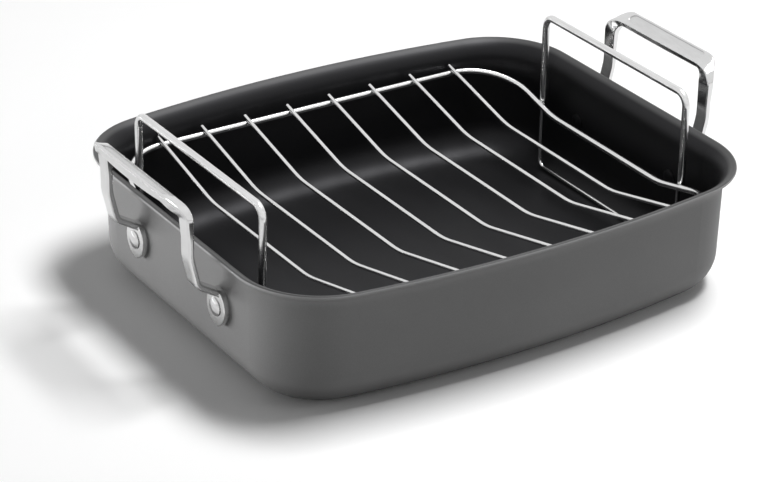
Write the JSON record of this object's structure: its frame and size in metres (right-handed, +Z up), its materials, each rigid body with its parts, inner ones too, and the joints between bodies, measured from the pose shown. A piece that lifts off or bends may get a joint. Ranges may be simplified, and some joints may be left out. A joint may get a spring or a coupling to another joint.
{
  "type": "roasting pan with rack",
  "caption": "Rectangular coated roasting pan with bowed sides, riveted cast loop handles and a lift-out wire rack with upright handles.",
  "frame": {"origin": "on the table under the middle of the pan's floor", "axes": "+X along the pan's length towards the right-hand handle, +Y across the pan towards the far long side in the picture, +Z up"},
  "size_m": [0.492, 0.3578, 0.1489],
  "materials": {
    "pan_body": "dark nonstick coating inside, satin dark-grey hard anodised outside",
    "pan_handles": "polished cast stainless steel",
    "rivets": "polished stainless steel",
    "rack_wire": "bright plated steel wire"
  },
  "bodies": {
    "pan": {"roasting_pan": "pan_body", "pan_handle_left": "pan_handles", "pan_handle_right": "pan_handles", "rivet_left_front": "rivets", "rivet_left_back": "rivets", "rivet_right_front": "rivets", "rivet_right_back": "rivets"},
    "rack": {"rack_frame": "rack_wire", "cross_wire_1": "rack_wire", "cross_wire_2": "rack_wire", "cross_wire_3": "rack_wire", "cross_wire_4": "rack_wire", "cross_wire_5": "rack_wire", "cross_wire_6": "rack_wire", "cross_wire_7": "rack_wire", "cross_wire_8": "rack_wire", "rack_handle_left": "rack_wire", "rack_handle_right": "rack_wire", "rack_foot_left": "rack_wire", "rack_foot_right": "rack_wire"}
  },
  "joints": [
    {"name": "rack_lift", "type": "slide", "parent": "pan", "child": "rack", "axis": [0, 0, 1], "range_m": [0, 0.16]}
  ]
}
